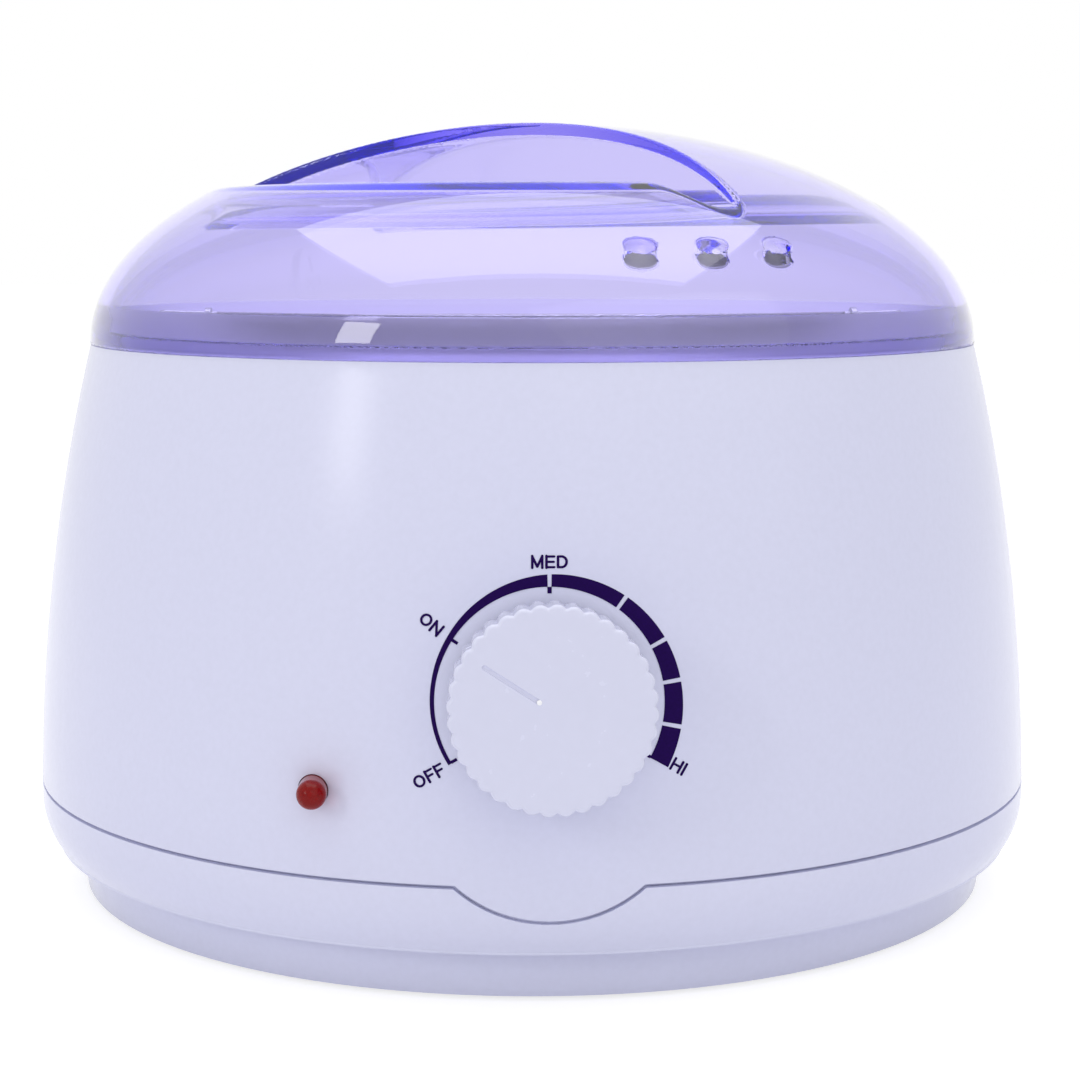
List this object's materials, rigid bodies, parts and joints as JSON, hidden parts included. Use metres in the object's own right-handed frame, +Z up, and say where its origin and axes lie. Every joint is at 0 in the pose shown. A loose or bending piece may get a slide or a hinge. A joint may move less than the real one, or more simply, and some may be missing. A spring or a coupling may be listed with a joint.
{
  "type": "wax warmer pot",
  "caption": "Round table-top wax warmer: white housing with a heat dial and lamp, a heater well with a lift-out pot and bail, and a clear domed lid.",
  "frame": {"origin": "on the surface the warmer stands on, under the middle of its whole outline; the axis of the round body is 4.99 mm behind it, because the knob stands out in front", "axes": "+Z up along the axis of the body, pot and lid; the dial and lamp face -Y; +X is to the right as seen from the dial's side"},
  "size_m": [0.186, 0.2016, 0.141],
  "materials": {
    "lid_clear": "gloss",
    "housing_white": "gloss",
    "knob_white": "satin",
    "brass_plain": "satin",
    "phenolic": "matte",
    "zinc_steel": "satin",
    "ceramic_white": "matte",
    "lens_red": "gloss",
    "neon_glass": "gloss",
    "black_plastic": "matte",
    "aluminium_pot": "satin",
    "bright_steel": "gloss",
    "aluminium_rivet": "satin",
    "aluminium_well": "satin",
    "mica": "matte",
    "black_rubber": "matte",
    "white_nylon": "satin",
    "lead_red": "satin",
    "lead_blue": "satin"
  },
  "bodies": {
    "housing": {"upper_housing": "housing_white", "base_housing": "housing_white", "foot_1": "black_rubber", "foot_2": "black_rubber", "foot_3": "black_rubber", "foot_4": "black_rubber", "base_screws": "zinc_steel", "thermostat_body": "phenolic", "thermostat_bracket": "zinc_steel", "thermostat_nut": "zinc_steel", "thermostat_terminals": "brass_plain", "thermal_fuse": "ceramic_white", "fuse_clip": "zinc_steel", "fuse_screw": "zinc_steel", "pilot_lens": "lens_red", "pilot_lamp": "neon_glass", "pilot_holder": "black_plastic", "heater_well": "aluminium_well", "well_screws": "zinc_steel", "heater_stud": "zinc_steel", "mica_heater": "mica", "pressure_plate": "zinc_steel", "spring_washer": "zinc_steel", "heater_nut": "zinc_steel", "heat_shield": "zinc_steel", "shield_nuts": "zinc_steel", "cord_grommet": "black_rubber", "cord_clamp": "black_plastic", "clamp_screws": "zinc_steel", "crimp_caps": "white_nylon", "lead_supply": "lead_red", "lead_heater": "lead_blue", "lead_fuse": "lead_red", "lead_link": "lead_red"},
    "knob": {"knob": "knob_white", "thermostat_shaft": "brass_plain"},
    "pot": {"pot": "aluminium_pot", "left_ear": "zinc_steel", "right_ear": "zinc_steel", "ear_rivets": "aluminium_rivet"},
    "bail": {"bail": "bright_steel"},
    "lid": {"lid": "lid_clear"}
  },
  "joints": [
    {"name": "knob_turn", "type": "hinge", "parent": "housing", "child": "knob", "pos_m": [0, -0.08622, 0.0493], "axis": [0, -0.9948, 0.1019], "range_deg": [-176.7, 64.6]},
    {"name": "pot_lift", "type": "slide", "parent": "housing", "child": "pot", "axis": [0, 0, 1], "range_m": [0, 0.11]},
    {"name": "lid_lift", "type": "slide", "parent": "pot", "child": "lid", "axis": [0, 0, 1], "range_m": [0, 0.11]},
    {"name": "bail_swing", "type": "hinge", "parent": "pot", "child": "bail", "pos_m": [0, 0.00499, 0.1044], "axis": [1, 0, 0], "range_deg": [0, 91.54]}
  ],
  "couplings": [
    {"joint": "bail_swing", "follows": "lid_lift", "rad_per_m": 14.523}
  ]
}
